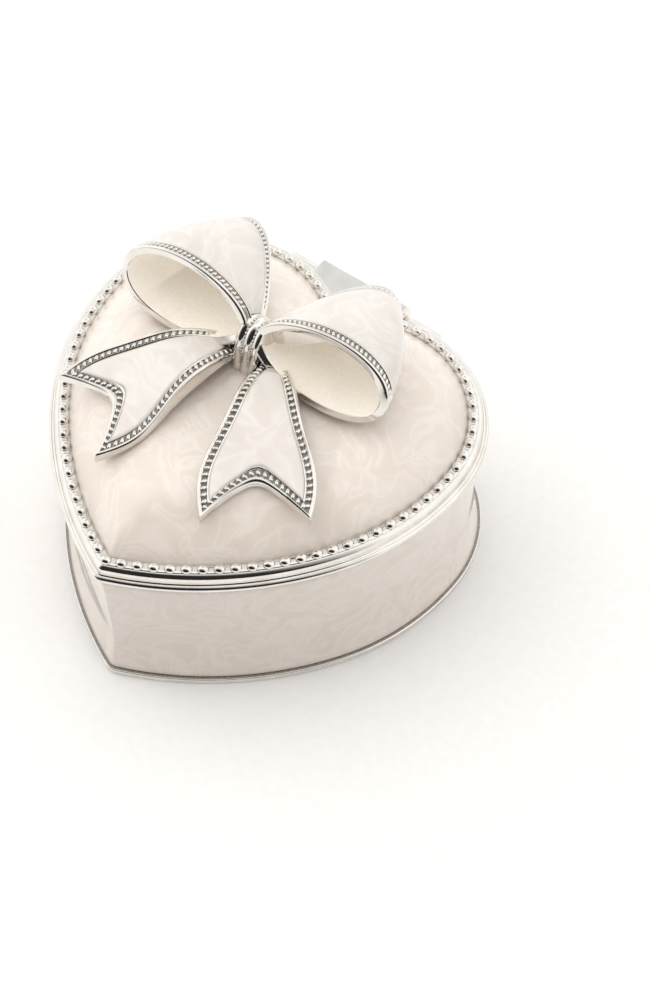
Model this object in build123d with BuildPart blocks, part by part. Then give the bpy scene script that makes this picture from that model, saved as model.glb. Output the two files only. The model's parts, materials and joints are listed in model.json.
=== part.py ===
"""A heart-shaped valentine box: an enamelled tray on a flared foot, and a hinged domed lid that
carries a bead border and a cast ribbon bow with sunk enamel panels.

Sizes are in millimetres. The foot stands on z = 0, the heart's tip points to -Y and the hinge lies
across the cleft at +Y. Heart outlines are named by their distance outside the lid rim's widest line,
so a negative distance lies inside it.
"""

import os
from math import acos, atan2, cos, degrees, radians, sin, sqrt

from build123d import *

os.makedirs("parts", exist_ok=True)

# Heart outline at the widest line of the lid rim
heart_width = 72.0
lobe_radius = 22.2
shoulder_radius = 42.5
shoulder_sweep = 34.5
side_radius = 63.5
cleft_radius = 3.5
tip_round = 2.2
least_tip_round = 0.2

# Tray
base_height = 28.2
floor_thickness = 1.8
foot_height = 1.2
foot_reach = 0.5
waist_height = 10.0
waist_depth = 1.5
plinth_height = 2.2
lid_overhang = 1.1
bare_rim_height = 1.4
base_wall = 2.3
enamel_thickness = 0.45

# Lid
rim_height = 2.7
rim_bead_height = 1.3
rim_bead_chamfer = 0.45
cove_depth = 0.95
channel_inset = 1.75
dome_inset = 3.4
dome_rise = 8.2
dome_run = 13.5
lid_shell = 1.3
lid_lip = 1.2

# Bead border
bead_radius = 0.72
bead_pitch = 2.5
bead_height = 0.55
bead_taper = 28.0
bead_strip_height = 0.3
bead_sides = 6
border_clearance = 0.05

# Hinge
hinge_set_back = 0.4
hinge_length = 30.0
knuckle_length = 17.4
knuckle_radius = 1.9
knuckle_top = 2.2
lug_clearance = 0.3
pin_radius = 0.8
pin_clearance = 0.05

# Bow, seated on the flat top of the dome, a little turned and to one side as it was soldered on
bow_back = 8.3
bow_shift = -1.0
bow_turn = 2.2
knot_width = 4.6
knot_depth = 8.2
knot_height = 8.4
knot_rib_width = 0.9
knot_rib_height = 0.4
panel_sink = 0.4
panel_proud = 0.1

# Ribbon loops: two egg curves joined by a ribbon that curls between them
loop_thickness = 1.5
loop_border = 2.2
loop_lift = 1.4
loop_root = 1.5
loop_pinch = 0.11
loop_curl = 15.5
front_reach = 24.4
front_root_back = -2.1
front_bend_back = -1.9
front_crown_back = 2.3
front_sole_back = -2.3
front_rise = 5.5
front_tilt = -0.1
rear_reach = 16.3
rear_root_back = 1.8
rear_bend_back = 13.4
rear_crown_back = 7.6
rear_sole_back = -0.5
rear_rise = 2.35
rear_tilt = 0.7

# Ribbon tails, along a straight line from beside the knot
tail_angle = -61.6
tail_start_x = 3.6
tail_start_forward = 1.1
tail_back = -2.0
tail_length = 28.1
tail_notch = 6.4
tail_notch_round = 2.0
tail_root_half = 1.4
tail_neck_half = 4.0
tail_middle_half = 6.4
tail_widest_half = 9.0
tail_end_half = 8.0
tail_border = 2.0
tail_knot_place = 2.0
tail_knot_top = 1.2
tail_root_top = 3.2
tail_arch_top = 5.2
tail_fall_top = 2.4
tail_end_gap = 2.4
tail_root_thickness = 1.3
tail_arch_thickness = 3.2
tail_end_thickness = 1.8

# Heart outline, worked out from the arcs' centres
half_width = heart_width / 2
lobe_x = half_width - lobe_radius
shoulder_x = half_width - shoulder_radius
side_x = shoulder_x - (side_radius - shoulder_radius) * cos(radians(shoulder_sweep))
side_rise = (side_radius - shoulder_radius) * sin(radians(shoulder_sweep))
tip_drop = sqrt(side_radius**2 - side_x**2) - side_rise
lobe_y = (tip_drop - lobe_radius) / 2
cleft_y = lobe_y + sqrt((lobe_radius + cleft_radius) ** 2 - lobe_x**2)
lobe_turn = degrees(atan2(cleft_y - lobe_y, -lobe_x))

# Levels and places that several pieces share
bare_rim_z = base_height - bare_rim_height
rim_top_z = base_height + rim_height
dome_top_z = rim_top_z + dome_rise
hinge_y = lobe_y + lobe_radius + hinge_set_back
hinge_z = base_height - knuckle_radius - lug_clearance
bow_z = dome_top_z
knot_half = knot_width / 2
bead_line = -(channel_inset + dome_inset) / 2


def heart(height, distance, pointed=False):
    """The heart at a height and at a distance from the lid rim's widest line."""
    side = side_radius + distance
    tip_turn = degrees(acos(-side_x / side))
    with BuildSketch(Plane.XY.offset(height)) as outline:
        with BuildLine():
            CenterArc((side_x, lobe_y + side_rise), side, -tip_turn, tip_turn - shoulder_sweep)
            CenterArc((shoulder_x, lobe_y), shoulder_radius + distance, -shoulder_sweep, shoulder_sweep)
            CenterArc((lobe_x, lobe_y), lobe_radius + distance, 0, lobe_turn)
            CenterArc((0, cleft_y), cleft_radius - distance, lobe_turn - 180, 90 - lobe_turn)
            mirror(about=Plane.YZ)
        make_face()
        if not pointed:
            tip = outline.vertices().sort_by(Axis.Y)[0]
            fillet(tip, radius=max(tip_round + distance, least_tip_round))
    return outline.sketch


def tapered(levels, pointed=False):
    """A stack of tapered bands through levels of height and distance."""
    with BuildPart() as stack:
        for (low, start), (high, end) in zip(levels, levels[1:]):
            slope = degrees(atan2(start - end, high - low))
            extrude(heart(low, start, pointed), amount=high - low, taper=slope)
    return stack.part


# The wall flares from the waist out to the foot, and leans out a little to the rim.
flare_height = waist_height - foot_height
flare_reach = waist_depth + foot_reach
wall_levels = [
    (foot_height, foot_reach - enamel_thickness),
    (foot_height + 0.25 * flare_height, foot_reach - 0.55 * flare_reach),
    (foot_height + 0.6 * flare_height, foot_reach - 0.9 * flare_reach),
    (waist_height, -waist_depth),
    (bare_rim_z, -lid_overhang),
]
plinth = foot_reach - 0.55 * flare_reach - enamel_thickness
core_wall = -waist_depth - enamel_thickness
inner_wall = -lid_overhang - base_wall
lug_length = hinge_length / 2 - knuckle_length / 2 - lug_clearance


def hinge_circle(x, radius):
    """A circle round the hinge axis, in the side view at x."""
    with BuildSketch(Plane.YZ.offset(x)) as circle:
        with Locations((hinge_y, hinge_z)):
            Circle(radius)
    return circle.sketch


def tray_lug(x):
    """The side view of a tray lug at x: a barrel on a web that runs into the wall."""
    web = hinge_set_back + lid_overhang + base_wall / 2
    with BuildSketch(Plane.YZ.offset(x)) as lug:
        with Locations((hinge_y, hinge_z)):
            Circle(knuckle_radius)
            Rectangle(web, 2 * knuckle_radius, align=(Align.MAX, Align.CENTER))
    return lug.sketch


with BuildPart() as tray_lugs:
    extrude(tray_lug(-hinge_length / 2), amount=lug_length)
    extrude(tray_lug(hinge_length / 2 - lug_length), amount=lug_length)

with BuildPart() as tray_core:
    extrude(heart(foot_height, plinth), amount=plinth_height)
    extrude(heart(foot_height, core_wall), amount=bare_rim_z - foot_height)

with BuildPart() as base_casting:
    extrude(heart(0, foot_reach), amount=foot_height)
    add(tray_core.part)
    extrude(heart(bare_rim_z, -lid_overhang), amount=bare_rim_height)
    add(tray_lugs.part)
    extrude(hinge_circle(0, pin_radius + pin_clearance), amount=hinge_length, both=True, mode=Mode.SUBTRACT)
    extrude(heart(floor_thickness, inner_wall), amount=base_height, mode=Mode.SUBTRACT)

with BuildPart() as base_enamel:
    add(tapered(wall_levels))
    add(tray_core.part, mode=Mode.SUBTRACT)
    add(tray_lugs.part, mode=Mode.SUBTRACT)

with BuildPart() as hinge_pin:
    extrude(hinge_circle(-hinge_length / 2, pin_radius), amount=hinge_length)


def dome_height(run):
    """Height of the dome above the rim, a run in from its edge."""
    return dome_rise * (1 - (1 - run / dome_run) ** 2)


def dome_levels(shares, inward, down):
    """Levels of a skin that lies inward of the dome and down from it."""
    runs = [dome_run * share for share in shares]
    return [(rim_top_z + dome_height(run) - down, -(dome_inset + run + inward)) for run in runs]


core_shares = (0.3, 1)
core_inward = 0.5 * enamel_thickness
core_edge = (rim_top_z, -dome_inset - enamel_thickness)
core_dome = [core_edge] + dome_levels(core_shares, core_inward, enamel_thickness)
lip_distance = -(dome_inset + enamel_thickness + lid_lip)
hollow_dome = dome_levels(core_shares, lid_shell, enamel_thickness + lid_shell)
hollow_levels = [(base_height, lip_distance), (rim_top_z - lid_shell / 2, lip_distance)] + hollow_dome
rim_levels = [
    (base_height, -rim_bead_chamfer),
    (base_height + 0.3 * rim_bead_height, 0),
    (base_height + 0.7 * rim_bead_height, 0),
    (base_height + rim_bead_height, -0.8 * cove_depth),
    (rim_top_z - 0.6, -cove_depth),
    (rim_top_z, -channel_inset),
]
block_front = cleft_y - cleft_radius - channel_inset
block_back = hinge_y + 0.5 * knuckle_radius
block_top = base_height + knuckle_top

with BuildPart() as lid_casting:
    add(tapered(rim_levels))
    add(tapered(core_dome, pointed=True))
    with BuildSketch(Plane.YZ):
        with BuildLine():
            Polyline(
                (block_front, base_height),
                (hinge_y - knuckle_radius, base_height),
                (hinge_y - knuckle_radius, hinge_z),
                (hinge_y + knuckle_radius, hinge_z),
                (hinge_y + knuckle_radius, base_height),
                (block_back, block_top),
                (block_front, block_top),
                close=True,
            )
        make_face()
        with Locations((hinge_y, hinge_z)):
            Circle(knuckle_radius)
    extrude(amount=knuckle_length / 2, both=True)
    extrude(hinge_circle(0, pin_radius + pin_clearance), amount=hinge_length, both=True, mode=Mode.SUBTRACT)
    add(tapered(hollow_levels, pointed=True), mode=Mode.SUBTRACT)

with BuildPart() as lid_enamel:
    add(tapered(dome_levels((0, 0.1, 0.3, 0.6, 1), 0, 0), pointed=True))
    add(tapered(core_dome, pointed=True), mode=Mode.SUBTRACT)

bead_track = heart(0, bead_line).faces()[0].outer_wire()
bead_count = round(bead_track.length / bead_pitch)
bead_places = [bead_track.position_at(bead / bead_count) for bead in range(bead_count)]

with BuildPart() as lid_bead_border:
    extrude(heart(rim_top_z, -channel_inset - border_clearance), amount=bead_strip_height)
    extrude(heart(rim_top_z, -dome_inset + border_clearance), amount=bead_strip_height, mode=Mode.SUBTRACT)
    with BuildSketch(Plane.XY.offset(rim_top_z + bead_strip_height)):
        with Locations(*bead_places):
            RegularPolygon(bead_radius, bead_sides)
    extrude(amount=bead_height, taper=bead_taper)


def strap(x, extra):
    """The side view of the knot's strap at x, a half ellipse on the dome's flat top."""
    with BuildSketch(Plane.YZ.offset(x)) as arch:
        with Locations((bow_back, bow_z)):
            Ellipse(knot_depth / 2 + extra, knot_height + extra)
            Rectangle(2 * knot_depth, 2 * knot_height, align=(Align.CENTER, Align.MAX), mode=Mode.SUBTRACT)
    return arch.sketch


with BuildPart() as bow_knot:
    extrude(strap(-knot_half, 0), amount=knot_width)
    for rib_start in (-knot_half, -knot_rib_width / 2, knot_half - knot_rib_width):
        extrude(strap(rib_start, knot_rib_height), amount=knot_rib_width)


# The tail lies along its own line: the plan is drawn from above and the arch from the side.
tail_origin = Vector(tail_start_x, bow_back - tail_start_forward, bow_z)
tail_along = Vector(cos(radians(tail_angle)), sin(radians(tail_angle)), 0)
tail_plan_plane = Plane(origin=tail_origin, x_dir=tail_along, z_dir=(0, 0, 1))
tail_side_plane = Plane(origin=tail_origin, x_dir=tail_along, z_dir=tail_along.cross(Vector(0, 0, 1)))
tip_spot = tail_plan_plane.from_local_coords((tail_length, -tail_end_half, 0))
tip_inset = side_radius - sqrt((tip_spot.X - side_x) ** 2 + (tip_spot.Y - lobe_y - side_rise) ** 2)
tip_run = min(max(tip_inset - dome_inset, 0), dome_run)
tail_end_top = dome_height(tip_run) - dome_rise + tail_end_gap + tail_end_thickness
tail_sides = [
    (tail_back, tail_root_half),
    (0.2 * tail_length, tail_neck_half),
    (0.48 * tail_length, tail_middle_half),
    (0.74 * tail_length, tail_widest_half),
]


def tail_plan(sides, border):
    """The fishtail seen from above, through points of its side, drawn a border inside its outline."""
    start = sides[0][0]
    end = (tail_length - 1.6 * border, tail_end_half - border)
    with BuildSketch(tail_plan_plane.offset(-2 * knot_height)) as plan:
        with BuildLine():
            side = Spline(*[(place, half - border) for place, half in sides], end)
            Line(side @ 1, (tail_length - tail_notch - 1.3 * border, 0))
            Line((start, 0), side @ 0)
            mirror(about=Plane.XZ)
        make_face()
        notch = [corner for corner in plan.vertices() if abs(corner.Y) < 1e-6 and corner.X > start + 1]
        fillet(notch, radius=tail_notch_round)
    return plan.sketch


def tail_arch(over, depths):
    """The arch seen from the side, from over its top curve down to the depths below it."""
    places = (tail_back, tail_knot_place, 0.32 * tail_length, 0.63 * tail_length, tail_length)
    tops = (tail_knot_top, tail_root_top, tail_arch_top, tail_fall_top, tail_end_top)
    with BuildSketch(tail_side_plane) as arch:
        with BuildLine():
            upper = Spline(*[(s, top + over) for s, top in zip(places, tops)])
            lower = Spline(*[(s, top - depth) for s, top, depth in zip(places, tops, depths)])
            Line(upper @ 0, lower @ 0)
            Line(upper @ 1, lower @ 1)
        make_face()
    return arch.sketch


tail_depths = (
    tail_root_thickness,
    tail_root_thickness,
    tail_arch_thickness,
    tail_end_thickness,
    tail_end_thickness,
)
panel_depths = (panel_sink,) * len(tail_depths)
tail_reach = 2 * tail_widest_half

with BuildPart() as bow_right_tail_enamel:
    extrude(tail_plan(tail_sides[1:], tail_border), amount=4 * knot_height)
    extrude(tail_arch(panel_proud, panel_depths), amount=tail_reach, both=True, mode=Mode.INTERSECT)

with BuildPart() as bow_right_tail:
    extrude(tail_plan(tail_sides, 0), amount=4 * knot_height)
    extrude(tail_arch(0, tail_depths), amount=tail_reach, both=True, mode=Mode.INTERSECT)
    split(bisect_by=Plane.YZ.offset(knot_half), keep=Keep.TOP)
    add(bow_right_tail_enamel.part, mode=Mode.SUBTRACT)

front_lean = (front_root_back, front_bend_back, front_crown_back, front_sole_back)
rear_lean = (rear_root_back, rear_bend_back, rear_crown_back, rear_sole_back)


def egg_edge(reach, lean, rise, tilt, angle):
    """A point on a loop's edge: 0 degrees at the outer bend, 90 at the crown, 180 at the knot."""
    root_back, bend_back, crown_back, sole_back = lean
    c = cos(radians(angle))
    s = sin(radians(angle)) * (1 + loop_pinch * c)
    x = (reach + loop_root) / 2 + (reach - loop_root) / 2 * c
    y = bow_back + (root_back + bend_back) / 2 + (bend_back - root_back) / 2 * c
    y += (crown_back - sole_back) / 2 * s + (crown_back + sole_back) / 2 * s * s
    z = bow_z + loop_lift + loop_thickness / 2 + rise + tilt * c + rise * s
    return Vector(x, y, z)


def loop_edges(angle):
    """The front and rear edge points of the right loop's ribbon at an angle."""
    front = egg_edge(front_reach, front_lean, front_rise, front_tilt, angle)
    rear = egg_edge(rear_reach, rear_lean, rear_rise, rear_tilt, angle)
    return front, rear


def ribbon_slice(angle, border, bottom, top):
    """A slice across the ribbon, curled on an arc, between two heights above its middle."""
    front, rear = loop_edges(angle)
    across = rear - front
    step = 2
    before, after = loop_edges(angle + step), loop_edges(angle - step)
    ahead = after[0] + after[1] - before[0] - before[1]
    along = ahead - across * (ahead.dot(across) / across.dot(across))
    radius = across.length / 2 / sin(radians(loop_curl))
    centre = (0, -radius * cos(radians(loop_curl)))
    half_turn = loop_curl - degrees(border / radius)
    with BuildSketch(Plane(origin=(front + rear) * 0.5, x_dir=across, z_dir=along)) as piece:
        with BuildLine():
            outside = CenterArc(centre, radius + top, 90 - half_turn, 2 * half_turn)
            inside = CenterArc(centre, radius + bottom, 90 - half_turn, 2 * half_turn)
            Line(outside @ 0, inside @ 0)
            Line(outside @ 1, inside @ 1)
        make_face()
    return piece.sketch


loop_angles = [165 - 15 * step for step in range(23)]
panel_angles = [135 - 15 * step for step in range(12)]
panel_bottom = loop_thickness / 2 - panel_sink
panel_top = loop_thickness / 2 + panel_proud
ribbon_half = loop_thickness / 2

with BuildPart() as bow_right_loop_enamel:
    loft([ribbon_slice(angle, loop_border, panel_bottom, panel_top) for angle in panel_angles], ruled=True)

with BuildPart() as bow_right_loop:
    loft([ribbon_slice(angle, 0, -ribbon_half, ribbon_half) for angle in loop_angles], ruled=True)
    split(bisect_by=Plane.YZ.offset(knot_half), keep=Keep.TOP)
    add(bow_right_loop_enamel.part, mode=Mode.SUBTRACT)
    add(bow_right_tail.part, mode=Mode.SUBTRACT)

with BuildPart() as bow_left_loop:
    mirror(bow_right_loop.part, about=Plane.YZ)

with BuildPart() as bow_left_loop_enamel:
    mirror(bow_right_loop_enamel.part, about=Plane.YZ)

with BuildPart() as bow_left_tail:
    mirror(bow_right_tail.part, about=Plane.YZ)

with BuildPart() as bow_left_tail_enamel:
    mirror(bow_right_tail_enamel.part, about=Plane.YZ)

pieces = {
    "base_casting": base_casting,
    "base_enamel": base_enamel,
    "hinge_pin": hinge_pin,
    "lid_casting": lid_casting,
    "lid_enamel": lid_enamel,
    "lid_bead_border": lid_bead_border,
    "bow_knot": bow_knot,
    "bow_right_loop": bow_right_loop,
    "bow_right_loop_enamel": bow_right_loop_enamel,
    "bow_right_tail": bow_right_tail,
    "bow_right_tail_enamel": bow_right_tail_enamel,
    "bow_left_loop": bow_left_loop,
    "bow_left_loop_enamel": bow_left_loop_enamel,
    "bow_left_tail": bow_left_tail,
    "bow_left_tail_enamel": bow_left_tail_enamel,
}
bow_place = Pos(bow_shift, bow_back, 0) * Rot(0, 0, bow_turn) * Pos(0, -bow_back, 0)
for name, piece in pieces.items():
    solid = bow_place * piece.part if name.startswith("bow") else piece.part
    solid.label = name
    export_step(solid, f"parts/{name}.step")
    print(name, round(solid.volume, 1), "mm3")
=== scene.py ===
# %% [markdown]
# # A heart-shaped trinket box
# The box is cast in zinc and plated with bright silver. Pearl enamel covers the wall and the domed lid,
# cream enamel lines the inside, and a cast ribbon bow sits on the lid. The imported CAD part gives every
# size and place. This lesson dresses it with smooth surfaces, beads, rope borders and finishes.

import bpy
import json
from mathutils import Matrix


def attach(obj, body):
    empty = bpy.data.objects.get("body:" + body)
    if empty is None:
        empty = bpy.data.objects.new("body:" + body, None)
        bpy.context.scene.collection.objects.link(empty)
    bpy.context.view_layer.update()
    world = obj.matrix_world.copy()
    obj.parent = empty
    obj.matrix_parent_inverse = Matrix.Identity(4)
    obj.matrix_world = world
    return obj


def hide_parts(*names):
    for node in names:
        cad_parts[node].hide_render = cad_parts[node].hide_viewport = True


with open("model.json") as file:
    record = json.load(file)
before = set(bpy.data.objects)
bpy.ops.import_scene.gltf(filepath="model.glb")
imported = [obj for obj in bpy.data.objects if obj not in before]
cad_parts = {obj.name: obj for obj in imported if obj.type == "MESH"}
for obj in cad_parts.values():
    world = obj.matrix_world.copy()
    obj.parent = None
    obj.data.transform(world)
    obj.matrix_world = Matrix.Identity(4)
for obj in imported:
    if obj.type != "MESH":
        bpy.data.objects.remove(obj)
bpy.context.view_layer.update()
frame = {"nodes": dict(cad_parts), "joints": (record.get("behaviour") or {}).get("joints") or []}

# %% Tools that the cells below share
import json
from math import atan2, cos, pi, radians, sin, sqrt

import bmesh
import bpy
import numpy as np
from mathutils import Matrix, Vector

MM = 0.001
scene = bpy.context.scene

# %% [markdown]
# ## Camera
# The camera stands in front of the tip, to the right and high above the box, on a long lens. Its place
# was worked out by fitting the heart's outline and the lid's rim. The box lies left of the frame's
# middle, so the lens is shifted instead of turning the camera, which keeps the perspective.

# %% Place the camera
CAMERA_TARGET = Vector((0.0, 4.4, 12.0)) * MM
CAMERA_AZIMUTH = radians(40.05)
CAMERA_ELEVATION = radians(56.32)
CAMERA_DISTANCE = 340.0 * MM
CAMERA_ROLL = radians(-3.08)

back = Vector((
    sin(CAMERA_AZIMUTH) * cos(CAMERA_ELEVATION),
    -cos(CAMERA_AZIMUTH) * cos(CAMERA_ELEVATION),
    sin(CAMERA_ELEVATION),
))
lens_data = bpy.data.cameras.new("camera")
lens_data.lens = 73.05
lens_data.sensor_width = 36.0
lens_data.shift_x = 0.0710
lens_data.shift_y = -0.0295
lens_data.clip_start = 0.01
camera = bpy.data.objects.new("camera", lens_data)
scene.collection.objects.link(camera)
camera.rotation_mode = "QUATERNION"
camera.rotation_quaternion = (
    (-back).to_track_quat("-Z", "Y") @ Matrix.Rotation(CAMERA_ROLL, 3, "Z").to_quaternion()
)
camera.location = CAMERA_TARGET + back * CAMERA_DISTANCE
scene.camera = camera
print("camera at", [round(c / MM, 1) for c in camera.location], "mm")

# %% [markdown]
# ## The heart outline
# Every contour of the box is the same heart at some distance inside or outside the lid rim's widest line.
# It is made of arcs that run into each other: tip, side, shoulder, lobe and cleft. Points are laid on
# the arcs in fixed counts, so the rings of two distances always join up into clean quads.

# %% Heart rings
HALF_WIDTH = 36.0
LOBE_RADIUS = 22.2
SHOULDER_RADIUS = 42.5
SHOULDER_SWEEP = radians(34.5)
SIDE_RADIUS = 63.5
CLEFT_RADIUS = 3.5
TIP_ROUND = 2.2
LEAST_TIP_ROUND = 0.5

LOBE_X = HALF_WIDTH - LOBE_RADIUS
SHOULDER_X = HALF_WIDTH - SHOULDER_RADIUS
SIDE_X = SHOULDER_X - (SIDE_RADIUS - SHOULDER_RADIUS) * cos(SHOULDER_SWEEP)
SIDE_RISE = (SIDE_RADIUS - SHOULDER_RADIUS) * sin(SHOULDER_SWEEP)
LOBE_Y = (sqrt(SIDE_RADIUS**2 - SIDE_X**2) - SIDE_RISE - LOBE_RADIUS) / 2
SIDE_Y = LOBE_Y + SIDE_RISE
CLEFT_Y = LOBE_Y + sqrt((LOBE_RADIUS + CLEFT_RADIUS) ** 2 - LOBE_X**2)
LOBE_TURN = atan2(CLEFT_Y - LOBE_Y, -LOBE_X)


def heart_ring(distance, height, tip_radius=LEAST_TIP_ROUND):
    """Points round the heart at a distance and a height, from the tip up the right side and back."""
    side = SIDE_RADIUS + distance
    tip = max(TIP_ROUND + distance, tip_radius)
    tip_y = SIDE_Y - sqrt((side - tip) ** 2 - SIDE_X**2)
    tip_end = atan2(tip_y - SIDE_Y, -SIDE_X)
    arcs = (
        (0, tip_y, tip, -pi / 2, tip_end, 8),
        (SIDE_X, SIDE_Y, side, tip_end, -SHOULDER_SWEEP, 30),
        (SHOULDER_X, LOBE_Y, SHOULDER_RADIUS + distance, -SHOULDER_SWEEP, 0, 20),
        (LOBE_X, LOBE_Y, LOBE_RADIUS + distance, 0, LOBE_TURN, 44),
        (0, CLEFT_Y, CLEFT_RADIUS - distance, LOBE_TURN - pi, -pi / 2, 12),
    )
    right = []
    for x, y, radius, start, end, count in arcs:
        for step in range(count):
            angle = start + (end - start) * step / count
            right.append((x + radius * cos(angle), y + radius * sin(angle), height))
    right.append((0, CLEFT_Y - CLEFT_RADIUS + distance, height))
    left = [(-x, y, z) for x, y, z in right[-2:0:-1]]
    return right + left


print("heart ring", len(heart_ring(0, 0)), "points, tip at", round(heart_ring(0, 0)[0][1], 2), "mm")

# %% [markdown]
# ## Building meshes
# Most pieces are skins: rings of points joined by quads. One helper turns rings into faces and one turns
# points and faces into an object with its finishes, which rides on a body of the box and stands for the
# CAD nodes that it covers. Lofting in edit mode would do as well, but rings in code keep the real sizes.


# %% Skins and pieces
def skin(rings, caps=(True, True), closed=False):
    """Points and faces of a surface through rings of equal length, with flat caps on its two ends."""
    size = len(rings[0])
    points = [p for ring in rings for p in ring]
    faces = []
    spans = len(rings) if closed else len(rings) - 1
    for level in range(spans):
        low, high = level * size, (level + 1) % len(rings) * size
        for i in range(size):
            j = (i + 1) % size
            faces.append((low + i, low + j, high + j, high + i))
    if caps[0]:
        faces.append(tuple(reversed(range(size))))
    if caps[1]:
        faces.append(tuple(range(len(points) - size, len(points))))
    return points, faces


def make_piece(name, shape, body, finishes, nodes=(), sharp=35):
    """A piece from points in millimetres and faces, with outward normals and edges sharp past an angle."""
    points, faces = shape
    mesh = bpy.data.meshes.new(name)
    mesh.from_pydata([tuple(c * MM for c in p) for p in points], [], faces)
    work = bmesh.new()
    work.from_mesh(mesh)
    bmesh.ops.remove_doubles(work, verts=work.verts, dist=1e-7)
    bmesh.ops.recalc_face_normals(work, faces=work.faces)
    work.to_mesh(mesh)
    work.free()
    mesh.shade_smooth()
    mesh.set_sharp_from_angle(angle=radians(sharp))
    for finish in finishes:
        mesh.materials.append(finish)
    piece = bpy.data.objects.new(name, mesh)
    scene.collection.objects.link(piece)
    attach(piece, body)
    if nodes:
        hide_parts(*nodes)
    print(name, len(mesh.vertices), "points", len(mesh.polygons), "faces")
    return piece


def join(shapes):
    """Several shapes as one."""
    points, faces = [], []
    for more_points, more_faces in shapes:
        start = len(points)
        points += [tuple(p) for p in more_points]
        faces += [tuple(i + start for i in face) for face in more_faces]
    return points, faces


def mirrored(shape):
    """The shape's twin on the other side of the box."""
    points, faces = shape
    return [(-x, y, z) for x, y, z in points], [tuple(reversed(face)) for face in faces]


def arc(x, y, radius, start, end, count):
    """Points on an arc, by degrees, in any profile."""
    turns = [radians(start + (end - start) * i / count) for i in range(count + 1)]
    return [(x + radius * cos(turn), y + radius * sin(turn)) for turn in turns]


def heart_sweep(profile):
    """Rings of the heart along a profile of distances and heights."""
    return [heart_ring(distance, height) for distance, height in profile]


def heart_band(profile):
    """A closed band round the heart, whose profile runs back into its own start."""
    return skin(heart_sweep(profile), (False, False), True)


# %% [markdown]
# ## Finishes
# A finish is named for what the real surface is. Colours are written as sRGB hex values and turned into
# Blender's linear values by one function, and a pattern's scale comes from its size in millimetres.


# %% Colour and node helpers
def srgb(code):
    """A hex colour as linear red, green, blue and alpha."""
    parts = [int(code[i : i + 2], 16) / 255 for i in (1, 3, 5)]
    return tuple(c / 12.92 if c <= 0.04045 else ((c + 0.055) / 1.055) ** 2.4 for c in parts) + (1.0,)


def per(size):
    """A pattern's scale from the size of its features in millimetres."""
    return 1 / (size * MM)


def add_node(tree, kind, inputs=None, stops=(), **settings):
    """A node with its settings. Inputs are values or other nodes' outputs, and stops are a ramp's colours."""
    node = tree.nodes.new(kind)
    for name, value in settings.items():
        setattr(node, name, value)
    for i, (place, code) in enumerate(stops):
        band = node.color_ramp.elements
        stop = band[i] if i < len(band) else band.new(place)
        stop.position = place
        stop.color = srgb(code)
    for name, value in (inputs or {}).items():
        if isinstance(value, bpy.types.NodeSocket):
            tree.links.new(value, node.inputs[name])
        else:
            node.inputs[name].default_value = value
    return node


def new_finish(name):
    """An empty material: its node tree, its main shader and the object coordinates."""
    finish = bpy.data.materials.new(name)
    finish.use_nodes = True
    tree = finish.node_tree
    shader = tree.nodes["Principled BSDF"]
    place = add_node(tree, "ShaderNodeTexCoord").outputs["Object"]
    print("finish", name)
    return finish, tree, shader, place


# %% [markdown]
# ### Bright silver plate
# Polished and plated zinc is almost a mirror. What the eye reads is a faint ripple from the buffing
# wheel, tiny pits and slightly duller patches, so roughness and bump vary gently. The pits are drawn about
# a third of a millimetre wide, coarser than real ones, so that they show.

# %% Silver plate
silver, tree, shader, place = new_finish("bright_silver_plate")
ripple = add_node(tree, "ShaderNodeTexNoise", {"Vector": place, "Scale": per(3.0), "Detail": 3.0})
grain = add_node(tree, "ShaderNodeTexNoise", {"Vector": place, "Scale": per(0.35), "Detail": 2.0})
dull = add_node(
    tree, "ShaderNodeMapRange", {"Value": ripple.outputs["Fac"], "To Min": 0.07, "To Max": 0.12}
)
tone = add_node(
    tree, "ShaderNodeValToRGB", {"Fac": ripple.outputs["Fac"]},
    stops=[(0.3, "#e4e0da"), (0.7, "#efece7")],
)
wobble = add_node(
    tree, "ShaderNodeBump", {"Height": ripple.outputs["Fac"], "Strength": 0.05, "Distance": 0.2 * MM}
)
pits = add_node(
    tree,
    "ShaderNodeBump",
    {
        "Height": grain.outputs["Fac"],
        "Strength": 0.06,
        "Distance": 0.05 * MM,
        "Normal": wobble.outputs["Normal"],
    },
)
shader.inputs["Metallic"].default_value = 1.0
tree.links.new(tone.outputs["Color"], shader.inputs["Base Color"])
tree.links.new(dull.outputs["Result"], shader.inputs["Roughness"])
tree.links.new(pits.outputs["Normal"], shader.inputs["Normal"])

# %% [markdown]
# ### Matte cast silver
# The insides of the ribbon loops are plated as cast and never polished. They are pale champagne, with a
# sandy grain and a few dark pits, so one fine noise drives colour and bump and a larger one the sheen.
# The powdery skin scatters more light than it mirrors, which is why it is only partly metallic here. The
# grain is drawn at half a millimetre, coarser than a real cast skin, so that it shows.

# %% Matte cast silver
cast_silver, tree, shader, place = new_finish("matte_cast_silver")
sand = add_node(tree, "ShaderNodeTexNoise", {"Vector": place, "Scale": per(0.5), "Detail": 5.0})
cloud = add_node(tree, "ShaderNodeTexNoise", {"Vector": place, "Scale": per(4.0), "Detail": 2.0})
tone = add_node(
    tree, "ShaderNodeValToRGB", {"Fac": sand.outputs["Fac"]},
    stops=[(0.20, "#bbb1a3"), (0.28, "#f7f0e5"), (0.7, "#fdfaf4")],
)
sanded = add_node(
    tree, "ShaderNodeBump", {"Height": sand.outputs["Fac"], "Strength": 0.35, "Distance": 0.1 * MM}
)
dull = add_node(
    tree, "ShaderNodeMapRange", {"Value": cloud.outputs["Fac"], "To Min": 0.28, "To Max": 0.46}
)
shader.inputs["Metallic"].default_value = 0.15
tree.links.new(tone.outputs["Color"], shader.inputs["Base Color"])
tree.links.new(dull.outputs["Result"], shader.inputs["Roughness"])
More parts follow.
